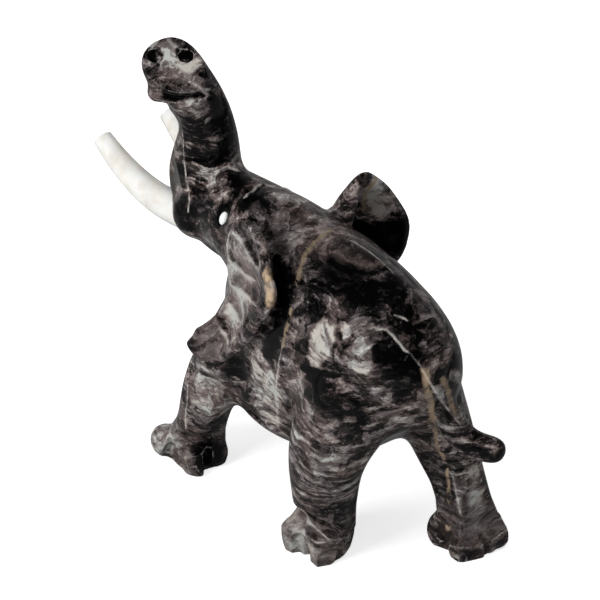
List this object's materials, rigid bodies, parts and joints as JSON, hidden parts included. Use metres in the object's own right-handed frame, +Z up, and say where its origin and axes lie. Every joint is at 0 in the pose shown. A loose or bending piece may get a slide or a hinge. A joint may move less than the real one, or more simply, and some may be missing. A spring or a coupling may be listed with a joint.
{
  "type": "elephant figurine",
  "caption": "Carved and polished stone elephant in a walking stance with its trunk raised and inlaid curved tusks and oval eyes.",
  "frame": {"origin": "middle of the bottom of the bounding box, level with the soles of the feet", "axes": "+Z up, the elephant faces -Y, its left side is towards +X"},
  "size_m": [0.0842, 0.1926, 0.1497],
  "materials": {
    "mottled_marble": "polished",
    "white_onyx": "polished",
    "white_inlay": "polished"
  },
  "bodies": {
    "root": {"elephant": "mottled_marble", "left_tusk": "white_onyx", "right_tusk": "white_onyx", "left_eye": "white_inlay", "right_eye": "white_inlay"}
  },
  "joints": []
}
